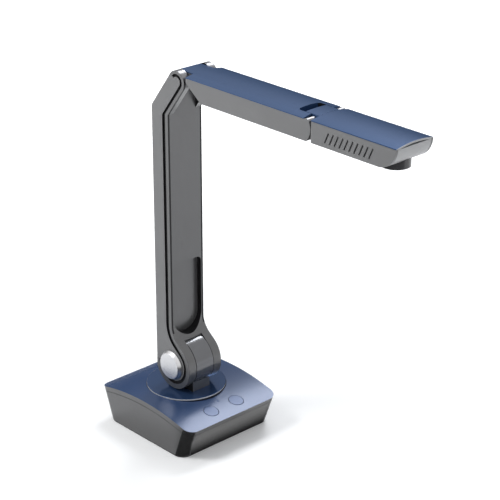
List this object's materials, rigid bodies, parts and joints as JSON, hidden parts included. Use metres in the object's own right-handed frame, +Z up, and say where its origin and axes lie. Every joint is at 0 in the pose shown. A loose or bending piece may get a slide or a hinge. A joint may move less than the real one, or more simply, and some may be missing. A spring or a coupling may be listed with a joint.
{
  "type": "folding document camera",
  "caption": "Folding document camera: weighted rounded base with a swivelling disc, tilting column, hinged arm and a tilting camera head with a downward lens.",
  "frame": {"origin": "middle of the underside of the rubber pad, on the table", "axes": "+Z up, -Y towards the front, where the arm and the head reach, +X to the right of someone who looks along +Y"},
  "size_m": [0.1124, 0.3407, 0.3602],
  "materials": {
    "blue_cover": "satin blue anodised metal",
    "lid_blue": "satin blue anodised metal, a little paler",
    "disc_blue": "polished blue anodised metal",
    "grey_shell": "fine satin grey",
    "column_grey": "fine satin grey, a little darker",
    "panel_grey": "satin light grey",
    "pedestal_grey": "satin grey with a soft shine",
    "cap_silver": "turned, with a bright chamfer",
    "lens_black": "black, slightly glossy",
    "lens_ring_grey": "dark grey",
    "lens_glass": "coated glass",
    "steel": "plain steel",
    "ballast_steel": "raw plate",
    "sheet_steel": "zinc plated sheet",
    "dark_frame": "moulded dark grey",
    "aluminium_frame": "plain sheet",
    "bush_brass": "turned",
    "washer_bronze": "plain",
    "board_green": "solder mask",
    "chip_black": "moulded",
    "ribbon_film": "film",
    "bearing_white": "low friction plastic",
    "lamp_lens": "clear tinted light pipe",
    "button_blue": "satin",
    "pad_rubber": "moulded"
  },
  "bodies": {
    "base": {"rubber_base_pad": "pad_rubber", "bottom_plate": "dark_frame", "bottom_screws": "steel", "base_housing": "grey_shell", "base_lid": "lid_blue", "lid_screws": "steel", "ballast_plate": "ballast_steel", "main_board": "board_green", "usb_socket": "sheet_steel", "button_board": "board_green", "button_switches": "chip_black", "status_lamp": "lamp_lens", "bearing_ring": "bearing_white"},
    "button_left": {"button_left": "button_blue"},
    "button_right": {"button_right": "button_blue"},
    "turntable": {"turntable_disc": "disc_blue", "swivel_hub": "aluminium_frame", "swivel_retainer": "sheet_steel", "pedestal": "pedestal_grey", "pedestal_screws": "steel", "pivot_shaft": "steel"},
    "column": {"column_front_shell": "column_grey", "column_rear_cover": "grey_shell", "column_spine": "aluminium_frame", "pivot_bushes": "bush_brass", "friction_washers": "washer_bronze", "pivot_cap_left": "cap_silver", "pivot_cap_right": "cap_silver", "column_screws": "steel", "column_ribbon_cable": "ribbon_film", "upper_hinge_pin": "steel"},
    "arm": {"arm_lower_shell": "grey_shell", "arm_top_cover": "blue_cover", "arm_hinge_block": "pedestal_grey", "arm_spine": "aluminium_frame", "arm_ribbon_cable": "ribbon_film", "arm_screws": "steel", "head_hinge_pin": "steel"},
    "head": {"head_lower_shell": "grey_shell", "head_top_cover": "blue_cover", "head_front_panel": "panel_grey", "head_hinge_block": "blue_cover", "head_frame": "aluminium_frame", "lens_barrel": "lens_black", "lens_glass": "lens_glass", "lens_ring": "lens_ring_grey", "lens_holder": "chip_black", "camera_board": "board_green", "image_sensor": "chip_black", "head_screws": "steel"}
  },
  "joints": [
    {"name": "turntable_swivel", "type": "hinge", "parent": "base", "child": "turntable", "pos_m": [0, 0.003, 0.04], "axis": [0, 0, 1], "range_deg": [-90, 90]},
    {"name": "column_tilt", "type": "hinge", "parent": "turntable", "child": "column", "pos_m": [0, -0.0008, 0.0665], "axis": [1, 0, 0], "range_deg": [-30, 90]},
    {"name": "arm_fold", "type": "hinge", "parent": "column", "child": "arm", "pos_m": [0, -0.0128, 0.3498], "axis": [1, 0, 0], "range_deg": [-30, 90]},
    {"name": "head_tilt", "type": "hinge", "parent": "arm", "child": "head", "pos_m": [0, -0.1758, 0.354], "axis": [1, 0, 0], "range_deg": [-90, 0]},
    {"name": "button_left_press", "type": "slide", "parent": "base", "child": "button_left", "axis": [0, 0, -1], "range_m": [0, 0.0008], "stiffness_N_per_m": 1500},
    {"name": "button_right_press", "type": "slide", "parent": "base", "child": "button_right", "axis": [0, 0, -1], "range_m": [0, 0.0008], "stiffness_N_per_m": 1500}
  ]
}
